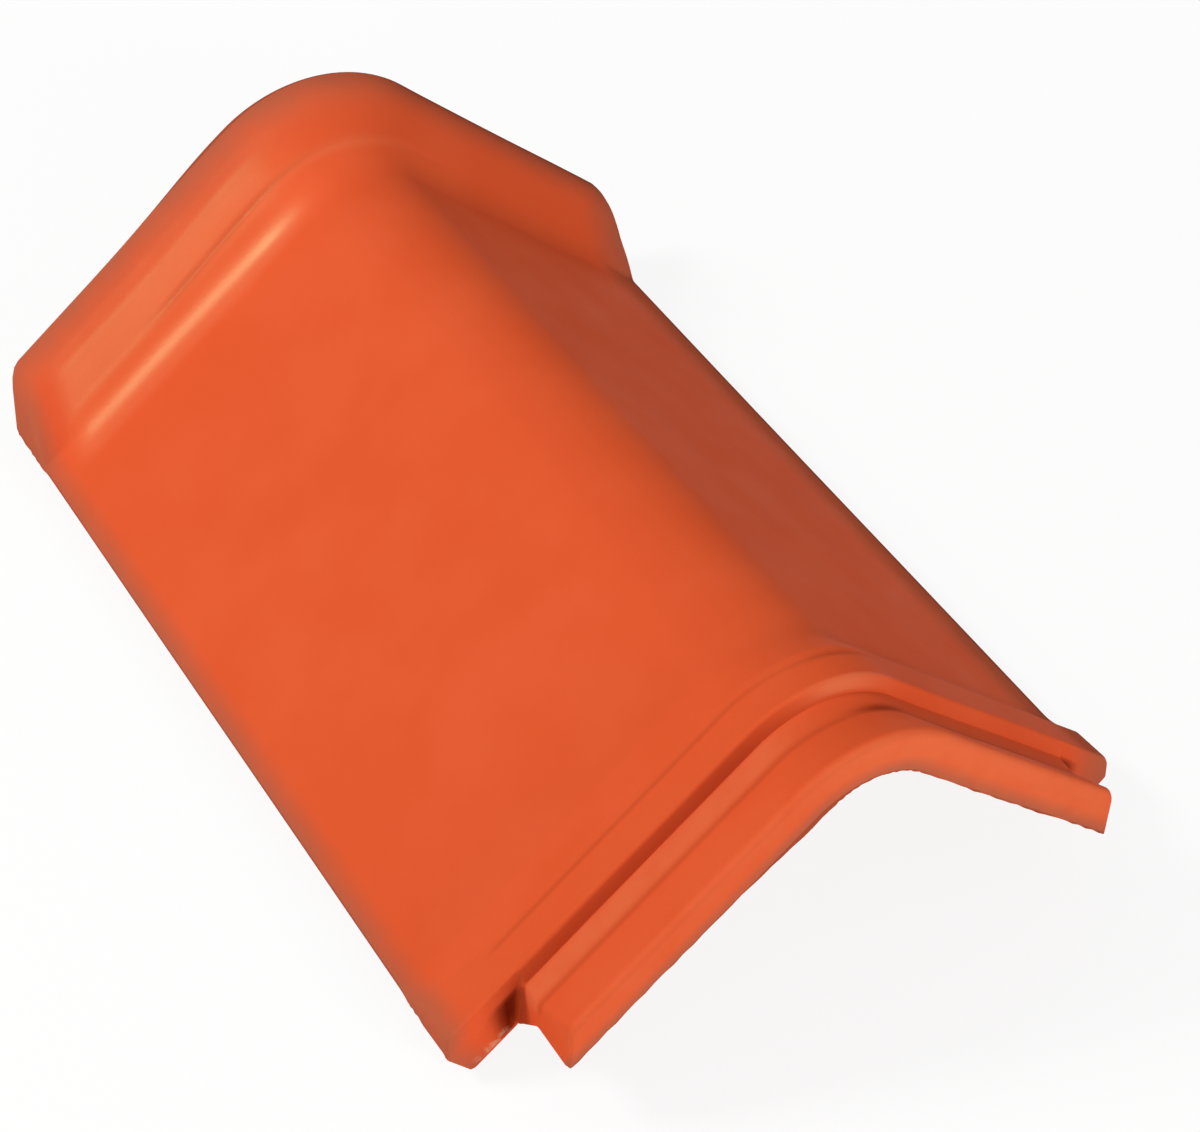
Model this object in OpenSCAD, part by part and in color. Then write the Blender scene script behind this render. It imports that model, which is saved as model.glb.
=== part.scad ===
// Angular clay ridge tile, pressed and fired in one piece.
// The ridge runs along Y. The lip is at the -Y end and the raised collar at the +Y end.
// The tile stands on its two lower edges, with the origin on the floor under its middle.

/* [Tile] */
// Overall length along the ridge
tile_length = 380; // [300:1:480]
// Overall width between the lower outer edges
tile_width = 260; // [220:1:320]
// Slope of each wing below the horizontal, in degrees
wing_slope = 40.3; // [32:0.1:46]
// Radius of the rounded ridge, on the outside of the body
ridge_radius = 36; // [30:1:50]
// Thickness of the body
wall = 14.7; // [11:0.1:18]

/* [Collar] */
// Length of the collar's top, from the far end to the corner of the step
collar_top = 12.5; // [12.5:0.5:40]
// Height of the collar above the body
collar_raise = 21; // [16:0.2:24]
// Angle of the collar's step above the body, in degrees
collar_step_angle = 48.6; // [44:0.2:60]
// Radius at the shoulder of the step
collar_shoulder_radius = 18; // [4:0.5:18]
// Radius at the foot of the step
collar_foot_radius = 12; // [3:0.5:20]
// Thickness of the clay under the collar
collar_wall = 13; // [9:0.5:15]
// Thickness of the cheeks that close the collar at its lower ends
collar_cheek = 22; // [14:0.5:30]

/* [Lip] */
// Length of the lip and its channel, from the end face to the shoulder of the body
lip_length = 28.3; // [24:0.1:45]
// Height of the lip's front edge above the body
lip_raise = 9.8; // [8:0.1:13]
// Thickness of the lip at its end face
lip_wall = 16.9; // [14:0.1:20]
// Length of the lip's back, which slopes from the front edge down to the channel
lip_back = 19; // [12:0.5:22]
// Length of the slope under the lip, where it thickens into the body
lip_root = 6; // [4:0.5:12]
// Distance that the lip stops short of the lower edges
lip_inset = 26; // [12:0.5:40]

/* [Channel] */
// Height of the channel's floor above the body
channel_floor = 2.2; // [0.5:0.1:4]
// Radius at both sides of the channel's floor
channel_radius = 1.2; // [0.4:0.1:1.5]

/* [Rib] */
// Height of the rib above the body, at its front edge
rib_height = 6.9; // [5.6:0.1:9]
// Length of the rib's sloping front, which rises from the channel
rib_face = 2.9; // [1:0.1:5]
// Length of the rib's top
rib_top = 16; // [8:0.5:24]
// Fall of the rib's top from its front edge to its back
rib_fall = 1.4; // [0.2:0.1:2]
// Length over which the back of the rib runs out into the body
rib_tail = 13; // [8:0.5:24]
// Radius that blends the rib's back into the body
rib_blend = 14; // [4:0.5:20]
// Lean of the shoulder under the rib, back from square, in degrees
shoulder_lean = 10; // [0:0.5:20]

/* [Edges] */
// Radius along the outer edges of the lip, the rib and the collar
edge_radius = 2; // [0.5:0.1:3]

/* [Hidden] */
$fn = 96;
arc_steps = 6;
half_width = tile_width / 2;
// Height of the ridge's centre line above the lower outer edges
ridge_axis = half_width * tan(wing_slope) - ridge_radius / cos(wing_slope);
// Length of each wing from the rounded ridge to the lower edge
wing_length = (half_width - ridge_radius * sin(wing_slope)) / cos(wing_slope);
// The lower edges are cut square, so the inner corner is the lowest line
inner_drop = wall * cos(wing_slope);
// Length of the collar's step, and the place of its foot
collar_step = collar_raise / tan(collar_step_angle);
collar_foot = tile_length - collar_top - collar_step;
collar_inside = collar_raise - collar_wall;
// The step under the collar lies one wall thickness behind the step outside
socket_foot = collar_foot + collar_wall / sin(collar_step_angle);
lip_inside = lip_raise - lip_wall;
// The slope under the lip ends just behind the shoulder
root_end = lip_length + edge_radius;
rib_front = lip_length + rib_face;
rib_back = rib_front + rib_top;
spare = 10;

function unit(v) = v / norm(v);

// Points of the arc that rounds the corner b between a and c
function arc(a, b, c, r) =
    let (
        back = unit(a - b),
        ahead = unit(c - b),
        half = acos(back * ahead) / 2,
        middle = b + unit(back + ahead) * r / sin(half),
        first = b + back * r / tan(half) - middle,
        turn = (cross(b - a, c - b) > 0 ? 1 : -1) * (180 - 2 * half),
        start = atan2(first[1], first[0])
    )
    [for (i = [0:arc_steps]) middle + r * [cos(start + turn * i / arc_steps), sin(start + turn * i / arc_steps)]];

function flat(corner) = [corner[0], corner[1]];

// An outline of corners [x, y, radius], with the corners that have a radius rounded
function rounded(corners) = [
    for (i = [0:len(corners) - 1])
        let (
            last = len(corners) - 1,
            a = corners[i == 0 ? last : i - 1],
            b = corners[i],
            c = corners[i == last ? 0 : i + 1]
        )
        each b[2] > 0 ? arc(flat(a), flat(b), flat(c), b[2]) : [flat(b)]
];

// Section along the ridge: height above the body's outside, then distance from the lip's end
function tile_section() = rounded([
    [lip_inside, 0, 0],
    [lip_raise, 0, edge_radius],
    [channel_floor, lip_back, channel_radius],
    [channel_floor, lip_length, channel_radius],
    [rib_height, rib_front, edge_radius],
    [rib_height - rib_fall, rib_back, rib_blend / 2],
    [0, rib_back + rib_tail, rib_blend],
    [0, collar_foot, collar_foot_radius],
    [collar_raise, collar_foot + collar_step, collar_shoulder_radius],
    [collar_raise, tile_length, edge_radius],
    [-wall, tile_length, 0],
    [-wall, root_end, 0],
    [lip_inside, root_end - lip_root, 0]
]);

// Section of the hollow under the collar
function socket_section() = [
    [-wall - spare, tile_length + spare],
    [-wall - spare, socket_foot - (wall + spare) / tan(collar_step_angle)],
    [collar_inside, socket_foot + collar_inside / tan(collar_step_angle)],
    [collar_inside, tile_length + spare]
];

// Section of the notch beside the lip, whose back leans under the rib
function notch_section() = [
    [rib_height + spare, -spare],
    [rib_height + spare, lip_length],
    [channel_floor, lip_length],
    [-wall - spare, lip_length + (channel_floor + wall + spare) * tan(shoulder_lean)],
    [-wall - spare, -spare]
];

// Carries a section round half of the ridge and down one wing, towards +X
module along_wing(section, run) {
    translate([0, 0, ridge_axis])
        rotate([0, wing_slope, 0]) {
            translate([0, 0, ridge_radius])
                rotate([90, 0, 90])
                    linear_extrude(height = run)
                        polygon([for (p = section) [p[1], p[0]]]);
            mirror([1, 0, 0])
                rotate([-90, 0, 0])
                    rotate([0, 0, -90])
                        rotate_extrude(angle = wing_slope + spare)
                            polygon([for (p = section) [ridge_radius + p[0], p[1]]]);
        }
}

// A tall block from x0 to x1 across the tile and from y0 to y1 along it
module slab(x0, x1, y0, y1) {
    translate([x0, y0, -tile_width])
        cube([x1 - x0, y1 - y0, 3 * tile_width]);
}

// The hollow under the collar, which the cheek closes at its lower end
module socket() {
    intersection() {
        along_wing(socket_section(), wing_length + spare);
        slab(-spare, half_width - collar_cheek, 0, tile_length + 2 * spare);
    }
}

// The lip stops short of the lower edge
module lip_notch() {
    intersection() {
        along_wing(notch_section(), wing_length + spare);
        slab(half_width - lip_inset, half_width + 2 * spare, -2 * spare, tile_length);
    }
}

module half_tile() {
    difference() {
        intersection() {
            along_wing(tile_section(), wing_length);
            slab(0, half_width, -spare, tile_length + spare);
        }
        socket();
        lip_notch();
    }
}

module ridge_tile() {
    color("coral")
        translate([0, -tile_length / 2, inner_drop])
            for (side = [0, 1])
                mirror([side, 0, 0])
                    half_tile();
}

ridge_tile();
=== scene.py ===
import math
import bmesh
import bpy
import numpy as np
from mathutils import Matrix, Vector


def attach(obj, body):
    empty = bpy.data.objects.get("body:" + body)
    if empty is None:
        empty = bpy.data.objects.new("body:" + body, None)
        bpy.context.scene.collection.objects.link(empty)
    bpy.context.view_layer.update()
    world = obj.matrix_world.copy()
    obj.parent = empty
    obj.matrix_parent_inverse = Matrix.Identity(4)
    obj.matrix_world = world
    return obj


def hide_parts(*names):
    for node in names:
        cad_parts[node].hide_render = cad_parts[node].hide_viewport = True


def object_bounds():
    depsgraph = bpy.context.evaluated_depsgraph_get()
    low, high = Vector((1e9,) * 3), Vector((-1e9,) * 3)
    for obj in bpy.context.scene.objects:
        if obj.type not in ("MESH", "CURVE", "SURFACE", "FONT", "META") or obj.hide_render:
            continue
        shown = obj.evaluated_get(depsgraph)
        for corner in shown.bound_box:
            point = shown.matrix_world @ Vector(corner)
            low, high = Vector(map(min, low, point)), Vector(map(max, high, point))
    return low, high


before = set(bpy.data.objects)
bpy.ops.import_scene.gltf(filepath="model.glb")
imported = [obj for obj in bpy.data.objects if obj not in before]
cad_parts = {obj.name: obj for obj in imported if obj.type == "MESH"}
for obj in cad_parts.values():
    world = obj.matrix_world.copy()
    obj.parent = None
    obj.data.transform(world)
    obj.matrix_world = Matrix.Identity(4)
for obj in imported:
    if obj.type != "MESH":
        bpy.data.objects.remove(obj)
cadLow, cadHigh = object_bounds()
print("frame loaded:", sorted(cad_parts))

tile = {  # metres and degrees: the main sizes are the solid's, and the finer ones follow the photo
    "length": cadHigh.y - cadLow.y,
    "halfWidth": (cadHigh.x - cadLow.x) / 2,
    "slope": 40.3,
    "ridgeRadius": 0.036,
    "wall": 0.0147,
    "collarTop": 0.0125,
    "collarRaise": 0.021,
    "collarAngle": 48.6,
    "collarShoulder": 0.018,
    "collarFoot": 0.020,            # the foot is a soft hollow on the wings
    "collarFootEnd": 0.004,         # and nearly sharp at the lower edges
    "collarWall": 0.013,
    "lipLength": 0.0283,
    "lipRaise": 0.0098,
    "lipWall": 0.0169,
    "lipBack": 0.019,
    "lipRoot": 0.0105,              # longer than in the solid, where only the notch shows it
    "lipInset": 0.026,
    "channelFloor": 0.0022,
    "channelRadius": 0.0012,
    "ribHeight": 0.0069,
    "ribFace": 0.0029,
    "ribTop": 0.016,
    "ribFall": 0.0014,
    "ribTail": 0.013,
    "ribBackRadius": 0.003,         # where the rib's top turns down into its tail
    "ribBlend": 0.025,              # where the tail runs out into the body
    "ribEdge": 0.0013,              # rounding of the rib's front edge on the wings
    "ribEdgeEnd": 0.0025,           # and at the lower edges
    "ribSquare": 0.8,               # how far the rib's front turns square in the notches
    "shoulderLean": 10,
    "edgeRadius": 0.002,            # rounding of the pressed edges
    "lipEdge": 0.0026,              # rounding of the lip's front edge
    "lipSide": 0.0016,              # rounding of the lip's two ends
    "collarEdge": 0.006,            # rounding of the collar's lower ends
    "collarEdgeRise": (0.004, 0.016),  # heights over which it takes over from the pressed edges
    "innerRadius": 0.0008,          # rounding of the inner edges
    "innerCurve": 0.004,            # rounding of the corners under the lip and the collar
    "rootRadius": 0.001,            # rounding where the slope under the lip ends
    "endReach": 1.5,                # a rounding pulls the ends in over this many radii
    "notchPull": 0.3,               # share of that pull at the notch's shoulder
    "sharpens": (0.3, 0.7),         # shares of the notch's width where soft turns sharp
    "cheekFrom": 0.15,              # share of the notch's width where the collar's cheek begins
    "squareFrom": 0.03,             # and where the rib's front begins to turn square
    "wingEnds": (0.0, 0.25),        # and where lines and shades of the wing fade out
    "lipShare": 0.78,               # share of the wing as far as the lip's end
    "creaseDepth": 0.0003,          # scribed lines along the rib and the collar's step
    "creaseHalf": 0.0008,
    "ribCrease": 0.0125,            # from the rib's front edge
    "ribCreaseEnds": (0.02, 0.045),  # fades out to the right of the crown
    "collarCrease": 0.0056,         # from the foot of the step
    "collarCreaseStarts": (-0.11, -0.08),
    "collarCreaseEnds": (0.03, 0.07),
    "collarCreaseShare": 0.7,       # of the rib's depth
    "swell": 0.002,                 # the collar is fuller on the left, and so is the lip inside
    "collarSwell": (-0.034, 0.04),  # middle and half width across
    "collarSwellRise": (0.045, 0.02),  # from the far end
    "lipSwell": (-0.028, 0.02),
    "lipSwellFall": (0.01, 0.06),   # from the lip's end
    "ragged": 0.0006,               # chips along the inner edge of the lip
    "raggedFall": (0.0005, 0.003),
    "raggedSeed": 5,
    "uneven": 0.00025,              # hand pressed, so not quite flat
    "waves": 7,
    "waveLengths": (0.07, 0.24),
    "waveSeed": 11,
    "fineStep": 0.0007,             # spacing of points over the collar, rib, channel and lip
    "fineNear": 0.045,              # run with fine points behind the shoulder
    "fineFar": 0.062,               # and up to the far end
    "longStep": 0.006,              # spacing of points along the plain body
    "across": 0.005,                # spacing of columns down the wings
    "arcPoints": 13,                # in each rounded corner of a section
    "ridgeColumns": 15,             # round half of the ridge
    "turnColumns": 5,               # round an edge
    "layers": 10,                   # cells through the wall, seen on the cut ends
    "lipFade": 4,                   # rows over which the lip's rounding ends at its root
    "smoothBelow": 48,              # edges that turn more than this are shaded sharp
}

slope = math.radians(tile["slope"])
sinS, cosS, tanS = math.sin(slope), math.cos(slope), math.tan(slope)
innerDrop = tile["wall"] * cosS                       # the inner corners are the lowest line
ridgeAxis = innerDrop + tile["halfWidth"] * tanS - tile["ridgeRadius"] / cosS
wingLength = (tile["halfWidth"] - tile["ridgeRadius"] * sinS) / cosS


def gentle(value, low, high):
    # 0 below the low value, 1 above the high one and a smooth step between them
    s = np.clip((value - low) / (high - low), 0, 1)
    return s * s * (3 - 2 * s)


def fading(value, low, high):
    # the same step downwards
    return 1 - gentle(value, low, high)


def bell(value, middle, half):
    # 1 in the middle, falling off on both sides as a bell curve
    return np.exp(-((value - middle) / half) ** 2)


def roundedPath(corners):
    # a chain of corners (y, height, radius) with an arc of that radius at each inner corner
    points = [np.array([corners[0][:2]])]
    for a, b, c in zip(corners, corners[1:], corners[2:]):
        p, q, r = (np.array(v[:2], float) for v in (a, b, c))
        back, ahead = (p - q) / np.linalg.norm(p - q), (r - q) / np.linalg.norm(r - q)
        half = math.acos(np.clip(back @ ahead, -1, 1)) / 2
        reach = b[2] / math.tan(half)
        centre = q + (back + ahead) / np.linalg.norm(back + ahead) * b[2] / math.sin(half)
        start, end = q + back * reach - centre, q + ahead * reach - centre
        s = np.linspace(0, 1, tile["arcPoints"])[:, None]
        total = math.pi - 2 * half
        arc = np.sin((1 - s) * total) * start + np.sin(s * total) * end
        points.append(centre + arc / math.sin(total))
    points.append(np.array([corners[-1][:2]]))
    return np.concatenate(points)


def runLength(path):
    # distance along a path at each of its points
    return np.concatenate([[0], np.cumsum(np.linalg.norm(np.diff(path, axis=0), axis=1))])


def sampled(path, shares):
    # points of a path at these shares of its whole run
    run = runLength(path)
    keep = np.concatenate([[True], np.diff(run) > 1e-9])
    at = shares * run[-1]
    return np.stack([np.interp(at, run[keep], path[keep, n]) for n in (0, 1)], 1)


def spread(start, end, step):
    # even places from start to end, about a step apart, without the first
    count = max(1, int(round((end - start) / step)))
    return np.linspace(start, end, count + 1)[1:]


def sections(t):
    # the tile's outside and inside along the ridge, each cut in two at the shoulder behind the lip:
    # the outside has a soft form and a sharp one, and the inside a plain form and one with the socket
    r, length, lip = t["edgeRadius"], t["length"], t["lipLength"]
    angle = math.radians(t["collarAngle"])
    tanC, sinC = math.tan(angle), math.sin(angle)
    foot = length - t["collarTop"] - t["collarRaise"] / tanC
    ribFront = lip + t["ribFace"]
    ribBack = ribFront + t["ribTop"]
    lipInside = t["lipRaise"] - t["lipWall"]
    shoulder = (lip, t["channelFloor"], 0)
    outerLip = roundedPath([
        (0, t["lipRaise"] - 1.6 * t["lipEdge"], 0),             # on the end face, below the rounding
        (0, t["lipRaise"], t["lipEdge"]),
        (t["lipBack"], t["channelFloor"], t["channelRadius"]),
        shoulder,
    ])

    def outerBody(footRadius, ribRadius):
        return roundedPath([
            shoulder,
            (ribFront, t["ribHeight"], ribRadius),
            (ribBack, t["ribHeight"] - t["ribFall"], t["ribBackRadius"]),
            (ribBack + t["ribTail"], 0, t["ribBlend"]),
            (foot, 0, footRadius),
            (foot + t["collarRaise"] / tanC, t["collarRaise"], t["collarShoulder"]),
            (length, t["collarRaise"], r),
            (length, t["collarRaise"] - 1.01 * r, 0),           # on the far face, below the rounding
        ])

    lean = (t["channelFloor"] + t["wall"]) * math.tan(math.radians(t["shoulderLean"]))
    under = (lip + lean, -t["wall"], 0)
    rootEnd = lip + r
    innerLip = roundedPath([
        (0, lipInside + 1.1 * t["innerRadius"], 0),             # on the end face, above the rounding
        (0, lipInside, t["innerRadius"]),
        (rootEnd - t["lipRoot"], lipInside, t["innerCurve"]),
        (rootEnd, -t["wall"], t["rootRadius"]),
        under,
    ])
    innerBody = np.array([under[:2], (length, -t["wall"])])
    socketFoot = foot + t["collarWall"] / sinC
    socketTop = t["collarRaise"] - t["collarWall"]
    socketBody = roundedPath([
        under,
        (socketFoot - t["wall"] / tanC, -t["wall"], t["innerCurve"]),
        (socketFoot + socketTop / tanC, socketTop, t["innerCurve"]),
        (length, socketTop, 0),
    ])
    soft = outerBody(t["collarFoot"], t["ribEdge"])
    sharp = outerBody(t["collarFootEnd"], t["ribEdgeEnd"])
    run, lipRun = runLength(soft)[-1], runLength(outerLip)[-1]
    near, far = t["fineNear"], run - t["fineFar"]
    lipShares = np.concatenate([[0], spread(0, lipRun, t["fineStep"])]) / lipRun
    bodyShares = np.concatenate([
        spread(0, near, t["fineStep"]),
        spread(near, far, t["longStep"]),
        spread(far, run, t["fineStep"]),
    ]) / run

    def join(lipPath, bodyPath):
        return np.concatenate([sampled(lipPath, lipShares), sampled(bodyPath, bodyShares)])

    outside = join(outerLip, soft), join(outerLip, sharp)
    inside = join(innerLip, innerBody), join(innerLip, socketBody)
    return outside, inside, len(lipShares) - 1, ribFront, foot


def columns(t):
    # places across the tile: angle round the ridge, share of the wing as far as the lip's end,
    # share beyond it, and how far the rounding has turned at the lip's end and at the lower edge
    half = np.linspace(0, slope, t["ridgeColumns"])
    turn = np.linspace(0, math.pi / 2, t["turnColumns"]) + 1e-9   # above zero, so that it counts as turned
    wing = np.linspace(0, 1, int(wingLength / t["across"]))[1:-1]
    beyond = np.concatenate([[0.06, 0.1, 0.2], np.linspace(0.3, 0.7, 6)])   # close together by the lip

    def rows(angle, reach, past, lipTurn, edgeTurn):
        return np.stack(np.broadcast_arrays(angle, reach, past, lipTurn, edgeTurn), 1)

    right = np.concatenate([
        rows(half, 0, 0, 0, 0),
        rows(slope, wing, 0, 0, 0),
        rows(slope, 1, 0, turn, 0),
        rows(slope, 1, beyond, 0, 0),
        rows(slope, 1, 1, 0, turn),
    ])
    lipColumn = len(half) + len(wing) + len(turn) - 1
    left = right[:0:-1]
    place = np.concatenate([left, right])
    side = np.concatenate([-np.ones(len(left)), np.ones(len(right))])
    return place, side, len(left) - lipColumn, len(left) + lipColumn


def pressMarks(t, across, along):
    # a few long waves in different directions, each with its own start, between about -1 and 1
    seeded = np.random.default_rng(t["waveSeed"])
    waves = t["waves"]
    angle, start = seeded.uniform(0, math.pi, waves), seeded.uniform(0, 2 * math.pi, waves)
    count = 2 * math.pi / seeded.uniform(*t["waveLengths"], waves)
    total = 0
    for k, a, s in zip(count, angle, start):
        total = total + np.sin(k * (np.cos(a) * across + np.sin(a) * along) + s)
    return total / waves * 2


def swellings(t, across, along, depth):
    # bells across the left side: the collar's outside goes up, and the lip's inside down and ragged
    farEnd = gentle(along, *(t["length"] - reach for reach in t["collarSwellRise"]))
    collar = bell(across, *t["collarSwell"])[:, None] * farEnd
    lip = bell(across, *t["lipSwell"])[:, None] * fading(along, *t["lipSwellFall"])
    chips = np.random.default_rng(t["raggedSeed"]).uniform(0, 1, len(across))
    chips = chips[:, None] * fading(along, *t["raggedFall"])
    return t["swell"] * (depth * collar - (1 - depth) * lip) + t["ragged"] * chips * (1 - depth)


def scribedLines(t, across, along, ribFront, foot):
    # narrow bells along the tile, faded out across it
    rib = bell(along, ribFront + t["ribCrease"], t["creaseHalf"])
    rib = rib * fading(across, *t["ribCreaseEnds"])[:, None]
    collar = bell(along, foot + t["collarCrease"], t["creaseHalf"])
    fades = gentle(across, *t["collarCreaseStarts"]) * fading(across, *t["collarCreaseEnds"])
    return rib, collar * fades[:, None]


def tileLattice(t):
    # a block of points along the ridge, across the tile and through the wall: each column carries
    # the section round the ridge or down a wing, and shrinks it by a quarter circle towards a rounded edge
    (soft, sharp), (plain, socket), shoulder, ribFront, foot = sections(t)
    place, side, leftNotch, rightNotch = columns(t)
    angle, reach, past, lipTurn, edgeTurn = place.T
    r = t["edgeRadius"]
    row = np.arange(len(soft))
    depth = np.linspace(0, 1, t["layers"] + 1)

    toEdge = gentle(past, *t["sharpens"])[None, :, None]
    over = soft[:, None, :] * (1 - toEdge) + sharp[:, None, :] * toEdge
    inNotch = (row >= shoulder)[:, None] & (past > t["squareFrom"])
    over[..., 0] += t["ribSquare"] * np.where(inNotch, np.maximum(ribFront - over[..., 0], 0), 0)
    cheek = (past > t["cheekFrom"])[None, :, None]              # closes the socket at both edges
    under = np.where(cheek, plain[:, None, :], socket[:, None, :])
    isLip = np.clip((shoulder - row) / t["lipFade"], 0, 1)[:, None]
    edge = r + (t["collarEdge"] - r) * gentle(soft[:, 1], *t["collarEdgeRise"])[:, None]
    shrink = edge * (1 - np.cos(edgeTurn)) + t["lipSide"] * (1 - np.cos(lipTurn)) * isLip
    top = over[..., 1] - shrink
    bottom = under[..., 1] + np.minimum(shrink, t["innerRadius"])
    height = bottom[..., None] * (1 - depth) + top[..., None] * depth
    along = under[..., 0, None] * (1 - depth) + over[..., 0, None] * depth
    nearEnd = np.where(row < shoulder, 0, t["lipLength"])[:, None, None]
    nearPull = np.where(row < shoulder, 1.0, t["notchPull"])[:, None, None]
    along = along + nearPull * shrink[..., None] * np.exp(-(along - nearEnd) / (t["endReach"] * r))
    along = along - shrink[..., None] * np.exp(-(t["length"] - along) / (t["endReach"] * edge[..., None]))

    wingShare = t["lipShare"] * reach + (1 - t["lipShare"]) * past
    across = side * (t["ridgeRadius"] * angle + wingLength * wingShare)
    onWing = fading(past, *t["wingEnds"])[:, None]
    ribLine, collarLine = scribedLines(t, across, along, ribFront, foot)
    ribLine = ribLine * onWing
    scribed = t["creaseDepth"] * (ribLine + t["collarCreaseShare"] * collarLine) * depth
    height = height + swellings(t, across, along, depth) - scribed
    ridge = t["ridgeRadius"] + height + t["uneven"] * pressMarks(t, across[None, :, None], along)
    lipEnd = (t["halfWidth"] - t["lipInset"] - ridge * sinS) / cosS
    lowEnd = wingLength - np.maximum(height, 0) * tanS
    lipPull = t["lipSide"] * (1 - np.sin(lipTurn)) * (lipTurn > 0)
    back = lipPull + edge * (1 - np.sin(edgeTurn)) * (edgeTurn > 0)
    down = reach[:, None] * lipEnd + past[:, None] * (lowEnd - lipEnd) - back[..., None]
    turn = angle[:, None]
    x = side[:, None] * (ridge * np.sin(turn) + down * cosS)
    z = ridgeAxis + ridge * np.cos(turn) - down * sinS
    points = np.stack([x, along - t["length"] / 2, z - z.min()], -1)
    grid = {
        "along": along, "across": across, "past": past, "side": side, "onWing": onWing,
        "outer": gentle(depth, 0.5, 1.0),                       # 1 on the outside, 0 on the inside
        "atShoulder": (row == shoulder)[:, None, None],
        "raised": np.maximum(over[..., 1, None], 0),            # of the outside above the body
        "fromTop": top[..., None] - height,
        "fromBottom": height - bottom[..., None],
        "fromLow": lowEnd - down,
        "ribLine": ribLine, "collarLine": collarLine, "ribFront": ribFront, "foot": foot,
    }
    return points, grid, (shoulder, leftNotch, rightNotch)


wear = {  # marks on the clay, painted shade and painted highlights among them: places and widths in metres, strengths and parts of the notch as shares
    "middle": 0.03,                 # width over which a mark turns from one side to the other
    "film": {"right": 0.4, "far": 0.6, "inner": 1.8},   # how fast it ends at each edge: slower is wider
    "line": {"right": 0.2, "inner": 2, "raised": 2},    # the same for the dark line, none on raised edges
    # painted shade along the channel where the lip's back meets its floor
    "channel": {"half": 0.0012, "shade": 0.2},
    # painted shadow of the lip on the rib's front face on the left
    "ribFront": {"rise": (-0.0003, 0.0005), "fall": (-0.0008, 0.0), "shade": 0.16},
    # painted shade in the channel over the crown
    "crownChannelShade": {"behind": 0.0012, "half": 0.0018, "middle": 0.015, "width": 0.010, "shade": 0.7},
    # painted shadow of the lip's ends on the notches' shoulder faces
    "notch": {"rise": (-0.05, 0.15), "fall": (0.2, 0.5), "below": 0.0025},
    # painted shade along the rib's scribed line over the crown
    "crownLineShade": {"half": 0.0016, "middle": 0.012, "width": 0.012, "shade": 1.4},
    "chips": {"above": 0.0024, "half": 0.0012, "rise": (0.1, 0.3), "end": 0.95},
    "endDust": {"fall": (0.0005, 0.003), "left": 0.5},
    # paler on the channel's floor on the left
    "paleChannelFloor": {"rise": 0.003, "fall": 0.001},
    # painted highlight, with more shine, on the rib's front over the crown
    "crownHighlightAndShine": {"middle": 0.008, "width": 0.014, "rise": 0.001, "fall": 0.002, "shine": 0.6},
    # painted highlight in a thin arc over the collar's crown
    "collarArcHighlight": {"above": 0.0052, "half": 0.0016, "width": 0.022},
    "polish": {"rise": (-0.018, -0.008), "fall": (-0.016, -0.010), "ends": (0.3, 0.75)},
    "polishStep": {"height": 0.006, "starts": (0.004, 0.03)},   # on the collar's step
    "polishFoot": {"share": 0.78, "starts": (0.004, 0.045)},    # and in the hollow at its foot
    "dullTail": {"rise": 0.004, "fall": (0.012, 0.022), "share": 0.45},
}


def edgeMarks(g, t, w):
    # distances from the nearest edge, for the film and the dark line, with each edge at its own rate,
    # which is 1 at the left lower edge
    onRight = gentle(g["across"], 0.0, w["middle"])[:, None]
    fromFar = t["length"] - g["along"] + g["fromTop"]
    fromInner = g["along"] + g["fromBottom"]
    film, line = w["film"], w["line"]
    filmRate, lineRate = 1 + (film["right"] - 1) * onRight, 1 + (line["right"] - 1) * onRight
    fromLow = g["fromLow"] + g["fromTop"] + line["raised"] * g["raised"]
    rim = [filmRate * g["fromLow"], film["far"] * fromFar, film["inner"] * fromInner]
    dark = [lineRate * fromLow, lineRate * fromFar, line["inner"] * fromInner]
    return {"rim": np.minimum.reduce(rim), "line": np.minimum.reduce(dark)}


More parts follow.
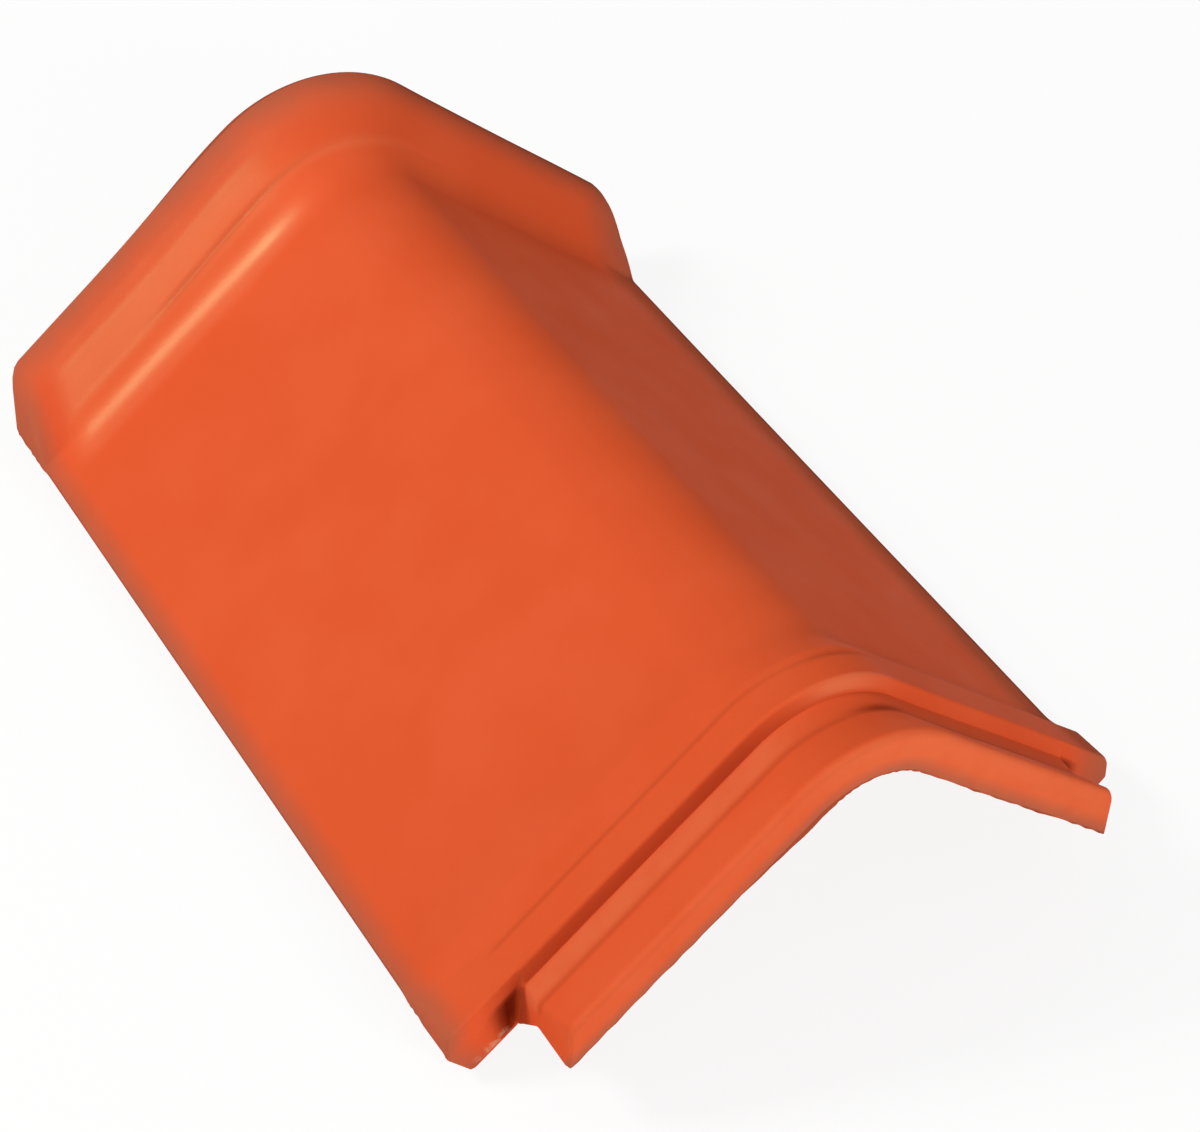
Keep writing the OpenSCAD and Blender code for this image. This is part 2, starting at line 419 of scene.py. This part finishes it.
def shadeMarks(g, t, w):
    # painted shade in the channel, on the rib's front, over the crown, in the notches and along the
    # scribed lines: bells and bands along the tile times bells and bands across it, and the deepest of
    # them holds
    along, across, past, outer = g["along"], g["across"], g["past"], g["outer"]
    onLeft = gentle(-across, 0.0, w["middle"])[:, None]
    # painted shade along the channel's floor at the foot of the lip's back
    channel = bell(along, t["lipBack"], w["channel"]["half"]) * (past <= 0)[:, None]
    rib = w["ribFront"]
    # painted shadow of the lip on the rib's front face, on the left wing only
    ribFront = gentle(along - t["lipLength"], *rib["rise"]) * fading(along - g["ribFront"], *rib["fall"])
    ribFront = ribFront * onLeft * g["onWing"]
    crown = w["crownChannelShade"]
    # painted shade in the channel over the crown, right of the ridge
    crownChannelShade = bell(along, t["lipBack"] + crown["behind"], crown["half"])
    crownChannelShade = crownChannelShade * bell(across, crown["middle"], crown["width"])[:, None]
    shades = [w["channel"]["shade"] * channel, rib["shade"] * ribFront, crown["shade"] * crownChannelShade]
    # painted shadow of the lip's end on the shoulder face of each notch, darker below its top
    notch = w["notch"]
    inNotch = (gentle(past, *notch["rise"]) * fading(past, *notch["fall"]))[:, None]
    inNotch = g["atShoulder"] * gentle(g["fromTop"], 0.0, notch["below"]) * inNotch
    # painted shade from the channel, the rib's front, the crown and the notches
    hollow = np.maximum(np.maximum.reduce(shades) * outer, inNotch)
    hollow[..., 0] = 0                                          # none on the inside
    # painted shade along the rib's scribed line, right of the ridge
    crest = w["crownLineShade"]
    crownLineShade = bell(along, g["ribFront"] + t["ribCrease"], crest["half"])
    crownLineShade = crownLineShade * bell(across, crest["middle"], crest["width"])[:, None]
    # painted shade in the scribed lines on the left and over the crown
    creaseShade = ((g["ribLine"] + g["collarLine"]) * onLeft + crest["shade"] * crownLineShade) * outer
    chips = w["chips"]
    inRow = gentle(past, *chips["rise"]) * (past < chips["end"]) * (g["side"] < 0)
    chip = bell(g["fromBottom"], chips["above"], chips["half"]) * g["atShoulder"] * inRow[:, None]
    return {"hollow": hollow, "creaseShade": creaseShade, "chip": chip}


def wornMarks(g, t, w):
    # the same for pale dust and painted highlights, for where the clay is worn smooth, and for where the
    # outside is dull
    along, across, outer = g["along"], g["across"], g["outer"]
    lip, lipBack, foot, ribFront = t["lipLength"], t["lipBack"], g["foot"], g["ribFront"]
    onLeft = gentle(-across, 0.0, w["middle"])[:, None]
    end = w["endDust"]
    onEnd = fading(along, *end["fall"]) * (1 - end["left"] * onLeft)
    floor = w["paleChannelFloor"]
    # paler on the channel's floor on the left
    onFloor = gentle(along, lipBack, lipBack + floor["rise"]) * fading(along, lip - floor["fall"], lip)
    onFloor = onFloor * onLeft * g["onWing"]
    crown = w["crownHighlightAndShine"]
    # painted highlight on the rib's front over the crown, right of the ridge
    worn = bell(across, crown["middle"], crown["width"])[:, None] * gentle(along, lip, lip + crown["rise"])
    worn = worn * fading(along, ribFront, ribFront + crown["fall"])
    arc = w["collarArcHighlight"]
    # painted highlight in a thin arc over the collar's crown
    collarArcHighlight = bell(along, foot + arc["above"], arc["half"]) * bell(across, 0.0, arc["width"])[:, None]
    # dust on the end face, a paler channel floor, and painted highlights on the rib's crown and over the
    # collar's crown
    dustAndPaintedHighlight = np.maximum.reduce([onEnd, onFloor * outer, worn * outer, collarArcHighlight * outer])

    band, step, hollow = w["polish"], w["polishStep"], w["polishFoot"]
    onStep = gentle(along, foot, foot + step["height"])
    starts = gentle(-across, *step["starts"])[:, None] * onStep
    starts = starts + gentle(-across, *hollow["starts"])[:, None] * (1 - onStep)
    share = hollow["share"] + (1 - hollow["share"]) * onStep
    polish = gentle(along - foot, *band["rise"]) * fading(along - t["length"], *band["fall"])
    polish = polish * share * starts * fading(g["past"], *band["ends"])[:, None]
    polish = np.maximum(polish, crown["shine"] * worn) * outer
    dull = w["dullTail"]
    behind = along - ribFront - t["ribTop"]
    tail = gentle(behind, 0.0, dull["rise"]) * fading(behind, *dull["fall"])
    return {"dustAndPaintedHighlight": dustAndPaintedHighlight, "polish": polish, "outer": outer * (1 - dull["share"] * tail)}


def blockSkin(index, keep):
    # quads on the outside of the kept cells of a block: a face is skin where the cells beside it differ
    quads = []
    padded = np.pad(keep, 1)
    for axis in range(3):
        trim = [slice(1, -1)] * 3
        trim[axis] = slice(None)
        step = np.diff(padded.astype(int), axis=axis)[tuple(trim)]
        a, b = [n for n in range(3) if n != axis]
        corners = []
        for u, v in ((0, 0), (1, 0), (1, 1), (0, 1)):
            cut = [slice(None)] * 3
            cut[a] = slice(u, index.shape[a] - 1 + u)
            cut[b] = slice(v, index.shape[b] - 1 + v)
            corners.append(index[tuple(cut)])
        faces = np.stack(corners, -1)
        flip = 1 if axis == 1 else -1
        quads.append(faces[step == flip])
        quads.append(faces[step == -flip][:, ::-1])
    return np.concatenate(quads)


def addPiece(name, data):
    piece = bpy.data.objects.new(name, data)
    bpy.context.scene.collection.objects.link(piece)
    return piece


def makeTile(t, w):
    # the skin of the block without its two notches, with the marks as attributes of its points
    points, grid, (shoulder, leftNotch, rightNotch) = tileLattice(t)
    rows, cols, layers = points.shape[:3]
    keep = np.ones((rows - 1, cols - 1, layers - 1), bool)
    keep[:shoulder, :leftNotch] = False                         # the lip stops short of both lower edges
    keep[:shoulder, rightNotch:] = False
    index = np.arange(rows * cols * layers).reshape(rows, cols, layers)
    quads = blockSkin(index, keep)
    used, faces = np.unique(quads, return_inverse=True)
    mesh = bpy.data.meshes.new("ridgeTile")
    mesh.from_pydata(points.reshape(-1, 3)[used].tolist(), [], faces.reshape(quads.shape).tolist())
    for marks in (edgeMarks, shadeMarks, wornMarks):
        for name, value in marks(grid, t, w).items():
            mark = mesh.attributes.new(name, "FLOAT", "POINT")
            mark.data.foreach_set("value", value.reshape(-1)[used].astype(np.float32))
    work = bmesh.new()
    work.from_mesh(mesh)
    bmesh.ops.recalc_face_normals(work, faces=work.faces)
    work.to_mesh(mesh)
    work.free()
    mesh.polygons.foreach_set("use_smooth", np.ones(len(mesh.polygons), bool))
    mesh.set_sharp_from_angle(angle=math.radians(t["smoothBelow"]))
    mesh.update()
    print("tile mesh:", len(mesh.vertices), "points,", len(mesh.polygons), "faces")
    return addPiece("ridgeTile", mesh)


def feed(tree, socket, value):
    # a number or a colour is set, and another node's output is linked
    if isinstance(value, (int, float, tuple)):
        socket.default_value = value
    else:
        tree.links.new(value, socket)


def maths(tree, operation, a, b):
    node = tree.nodes.new("ShaderNodeMath")
    node.operation = operation
    feed(tree, node.inputs[0], a)
    feed(tree, node.inputs[1], b)
    return node.outputs["Value"]


def mapped(tree, value, fromRange, toRange, easing="SMOOTHSTEP"):
    # spreads one range of a value over another
    node = tree.nodes.new("ShaderNodeMapRange")
    node.interpolation_type = easing
    for name, number in zip(("From Min", "From Max", "To Min", "To Max"), (*fromRange, *toRange)):
        node.inputs[name].default_value = number
    tree.links.new(value, node.inputs["Value"])
    return node.outputs["Result"]


def mixed(tree, factor, a, b, kind="RGBA"):
    # the Mix node has its own pair of inputs and its own output for each kind of value
    first, result = {"FLOAT": (2, 0), "RGBA": (6, 2)}[kind]
    node = tree.nodes.new("ShaderNodeMix")
    node.data_type = kind
    tree.links.new(factor, node.inputs["Factor"])
    feed(tree, node.inputs[first], a)
    feed(tree, node.inputs[first + 1], b)
    return node.outputs[result]


clay = {
    "body": (0.68, 0.090, 0.026, 1),
    "pale": (0.70, 0.099, 0.031, 1),
    "dusty": (0.41, 0.106, 0.056, 1),   # film along the edges
    "dustAndPaintedHighlight": (0.71, 0.128, 0.046, 1),    # pale: dust on the end face, a paler channel floor, and painted highlights on the rib's crown and in an arc over the collar's crown
    "chipped": (0.62, 0.33, 0.20, 1),   # along the left shoulder
    "shadeAndLineDark": (0.16, 0.011, 0.002, 1),    # painted shade in the channel, the notches and the scribed lines, and the dark line along the edges
    "filmReach": (0.0005, 0.0125),      # distances from the edge
    "filmShare": (0.85, 0.0),           # at these distances
    "filmDulls": (0.0, 0.6),            # shares of film between full shine and none
    "lineReach": (0.0002, 0.0014),
    "lineShare": (0.4, 0.0),
    # strength of the painted shade along the scribed lines
    "creaseShare": 0.2,
    "polished": 0.29,                   # roughness where the clay is worn smooth
    "specular": (0.012, 0.42),          # on the outside and where it is worn smooth
    "gloss": (0.7, 1.0, 0.48, 1),       # tint of the shine
    "patches": {  # scale and detail of a noise, the range of it that counts, and what that range becomes
        "clouds": (26, 3, (0.35, 0.7), (0.0, 1.0)),
        "dustAndPaintedHighlight": (90, 3, (0.3, 0.6), (0.6, 0.95)),
        "film": (60, 4, (0.3, 0.6), (0.8, 1.0)),
        "chips": (260, 3, (0.45, 0.6), (0.0, 0.8)),
        "roughness": (40, 3, (0.3, 0.7), (0.52, 0.60)),
    },
    "grain": (1400, 2, 0.6),            # scale, detail and roughness of the noise
    "grainStrength": 0.12,
    "grainDepth": 0.0004,
}


def clayMaterial(c):
    # clouded clay with dust and painted highlights, film, painted shade in the hollows and creases, a dark
    # line along the edges and chips laid over it in turn, each by its mark
    material = bpy.data.materials.new("firedClay")
    material.use_nodes = True
    tree = material.node_tree
    nodes, links = tree.nodes, tree.links
    shader = nodes["Principled BSDF"]
    place = nodes.new("ShaderNodeTexCoord").outputs["Object"]

    def noise(scale, detail, rough=0.5):
        node = nodes.new("ShaderNodeTexNoise")
        node.inputs["Scale"].default_value = scale
        node.inputs["Detail"].default_value = detail
        node.inputs["Roughness"].default_value = rough
        links.new(place, node.inputs["Vector"])
        return node.outputs["Fac"]

    def patchy(name):
        scale, detail, fromRange, toRange = c["patches"][name]
        return mapped(tree, noise(scale, detail), fromRange, toRange)

    def mark(name):
        node = nodes.new("ShaderNodeAttribute")
        node.attribute_name = name
        return node.outputs["Fac"]

    def times(a, b):
        return maths(tree, "MULTIPLY", a, b)

    film = times(mapped(tree, mark("rim"), c["filmReach"], c["filmShare"]), patchy("film"))
    colour = mixed(tree, patchy("clouds"), c["body"], c["pale"])
    # dust and painted highlights
    colour = mixed(tree, times(mark("dustAndPaintedHighlight"), patchy("dustAndPaintedHighlight")), colour, c["dustAndPaintedHighlight"])
    colour = mixed(tree, film, colour, c["dusty"])
    # painted shade in the hollows, then along the scribed lines, then the dark line along the edges
    colour = mixed(tree, mark("hollow"), colour, c["shadeAndLineDark"])
    # painted shade along the scribed lines and over the crown
    colour = mixed(tree, times(mark("creaseShade"), c["creaseShare"]), colour, c["shadeAndLineDark"])
    colour = mixed(tree, mapped(tree, mark("line"), c["lineReach"], c["lineShare"]), colour, c["shadeAndLineDark"])
    colour = mixed(tree, times(mark("chip"), patchy("chips")), colour, c["chipped"])
    links.new(colour, shader.inputs["Base Color"])
    shader.inputs["Specular Tint"].default_value = c["gloss"]
    polish = mark("polish")
    roughness = mixed(tree, polish, patchy("roughness"), c["polished"], "FLOAT")
    links.new(roughness, shader.inputs["Roughness"])
    bare = mapped(tree, film, c["filmDulls"], (1.0, 0.0))
    shine = times(mapped(tree, polish, (0.0, 1.0), c["specular"]), bare)
    links.new(times(shine, mark("outer")), shader.inputs["Specular IOR Level"])
    bump = nodes.new("ShaderNodeBump")
    bump.inputs["Strength"].default_value = c["grainStrength"]
    bump.inputs["Distance"].default_value = c["grainDepth"]
    links.new(noise(*c["grain"]), bump.inputs["Height"])
    links.new(bump.outputs["Normal"], shader.inputs["Normal"])
    return material


ridgeTile = makeTile(tile, wear)
ridgeTile.data.materials.append(clayMaterial(clay))
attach(ridgeTile, "root")
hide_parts("ridge_tile")
print("clay on the tile:", ridgeTile.data.materials[0].name)

studio = {
    "floorSize": 8.0,
    "floorColour": (0.93, 0.93, 0.925, 1),
    "floorWhite": (0.87, 1.0),      # share of plain white seen in the floor, near the tile and far off
    "floorReach": (0.2, 0.9),       # distances from the middle of the tile for these shares
    "worldLight": 0.15,
    "lamps": {
        "key": {"azimuth": -115, "elevation": 44, "distance": 1.8, "size": 0.45, "power": 20.5},
        "front": {"azimuth": 13, "elevation": 17.5, "distance": 2.2, "size": 0.7, "power": 24},
        "side": {"azimuth": -44, "elevation": 29, "distance": 2.18, "size": 0.3, "power": 4.5},
        "top": {"azimuth": 0, "elevation": 90, "distance": 2.0, "size": 2.0, "power": 8.6},
    },
}


def seenDirectly(tree):
    # 1 for rays from the camera, a mirror or a clear body, 0 for the light that falls on the tile
    path = tree.nodes.new("ShaderNodeLightPath").outputs
    seen = maths(tree, "MAXIMUM", path["Is Camera Ray"], path["Is Glossy Ray"])
    return maths(tree, "MAXIMUM", seen, path["Is Transmission Ray"])


def floorMaterial(s):
    # matt and pale, mixed with plain white where it is seen directly, by a share that grows with distance
    material = bpy.data.materials.new("paleFloor")
    material.use_nodes = True
    tree = material.node_tree
    nodes, links = tree.nodes, tree.links
    shader = nodes["Principled BSDF"]
    shader.inputs["Base Color"].default_value = s["floorColour"]
    shader.inputs["Roughness"].default_value = 1
    shader.inputs["Specular IOR Level"].default_value = 0
    white = nodes.new("ShaderNodeEmission")
    away = nodes.new("ShaderNodeVectorMath")
    away.operation = "LENGTH"
    links.new(nodes.new("ShaderNodeTexCoord").outputs["Object"], away.inputs[0])
    level = mapped(tree, away.outputs["Value"], s["floorReach"], s["floorWhite"], "LINEAR")
    mix = nodes.new("ShaderNodeMixShader")
    links.new(maths(tree, "MULTIPLY", seenDirectly(tree), level), mix.inputs["Fac"])
    links.new(shader.outputs["BSDF"], mix.inputs[1])
    links.new(white.outputs["Emission"], mix.inputs[2])
    links.new(mix.outputs["Shader"], nodes["Material Output"].inputs["Surface"])
    return material


def makeFloor(s):
    # one square under the tile
    half = s["floorSize"] / 2
    mesh = bpy.data.meshes.new("floor")
    corners = [(-half, -half, 0), (half, -half, 0), (half, half, 0), (-half, half, 0)]
    mesh.from_pydata(corners, [], [(0, 1, 2, 3)])
    mesh.materials.append(floorMaterial(s))
    floor = addPiece("floor", mesh)


def makeWorld(s):
    # the camera and reflections see plain white, and the tile gets this much even light
    world = bpy.data.worlds.new("studio")
    world.use_nodes = True
    tree = world.node_tree
    background = tree.nodes["Background"]
    background.inputs["Color"].default_value = (1, 1, 1, 1)
    level = mapped(tree, seenDirectly(tree), (0.0, 1.0), (s["worldLight"], 1.0), "LINEAR")
    tree.links.new(level, background.inputs["Strength"])
    bpy.context.scene.world = world


def lookFrom(azimuth, elevation):
    # direction from the tile: round from the front, then up
    a, e = math.radians(azimuth), math.radians(elevation)
    return Vector((math.sin(a) * math.cos(e), -math.cos(a) * math.cos(e), math.sin(e)))


def makeLamp(name, l):
    # a soft square lamp that faces the tile from this side
    back = lookFrom(l["azimuth"], l["elevation"])
    lamp = bpy.data.lights.new(name, "AREA")
    lamp.size = l["size"]
    lamp.energy = l["power"]
    piece = addPiece(name, lamp)
    piece.location = back * l["distance"]
    piece.rotation_euler = (-back).to_track_quat("-Z", "Y").to_euler()


makeFloor(studio)
makeWorld(studio)
for lampName, lamp in studio["lamps"].items():
    makeLamp(lampName, lamp)
print("floor and lamps in place:", ", ".join(studio["lamps"]))

shot = {  # where the photograph was taken from
    "azimuth": -32.93,
    "elevation": 42.51,
    "roll": 3.51,
    "distance": 1.1085,
    "aim": (0.0125, -0.0099, 0.0393),
    "lens": 93.42,
    "sensor": 36,
    "clipStart": 0.05,
}


def makeCamera(s):
    # looks at the aim from this side and distance, and is rolled about its own line of sight
    back = lookFrom(s["azimuth"], s["elevation"])
    data = bpy.data.cameras.new("camera")
    data.sensor_width = s["sensor"]
    data.lens = s["lens"]
    data.clip_start = s["clipStart"]
    camera = addPiece("camera", data)
    turn = (-back).to_track_quat("-Z", "Y").to_matrix() @ Matrix.Rotation(math.radians(s["roll"]), 3, "Z")
    camera.matrix_world = Matrix.Translation(Vector(s["aim"]) + back * s["distance"]) @ turn.to_4x4()
    bpy.context.scene.camera = camera


makeCamera(shot)
bpy.context.scene.view_settings.view_transform = "Standard"
print("camera in place")
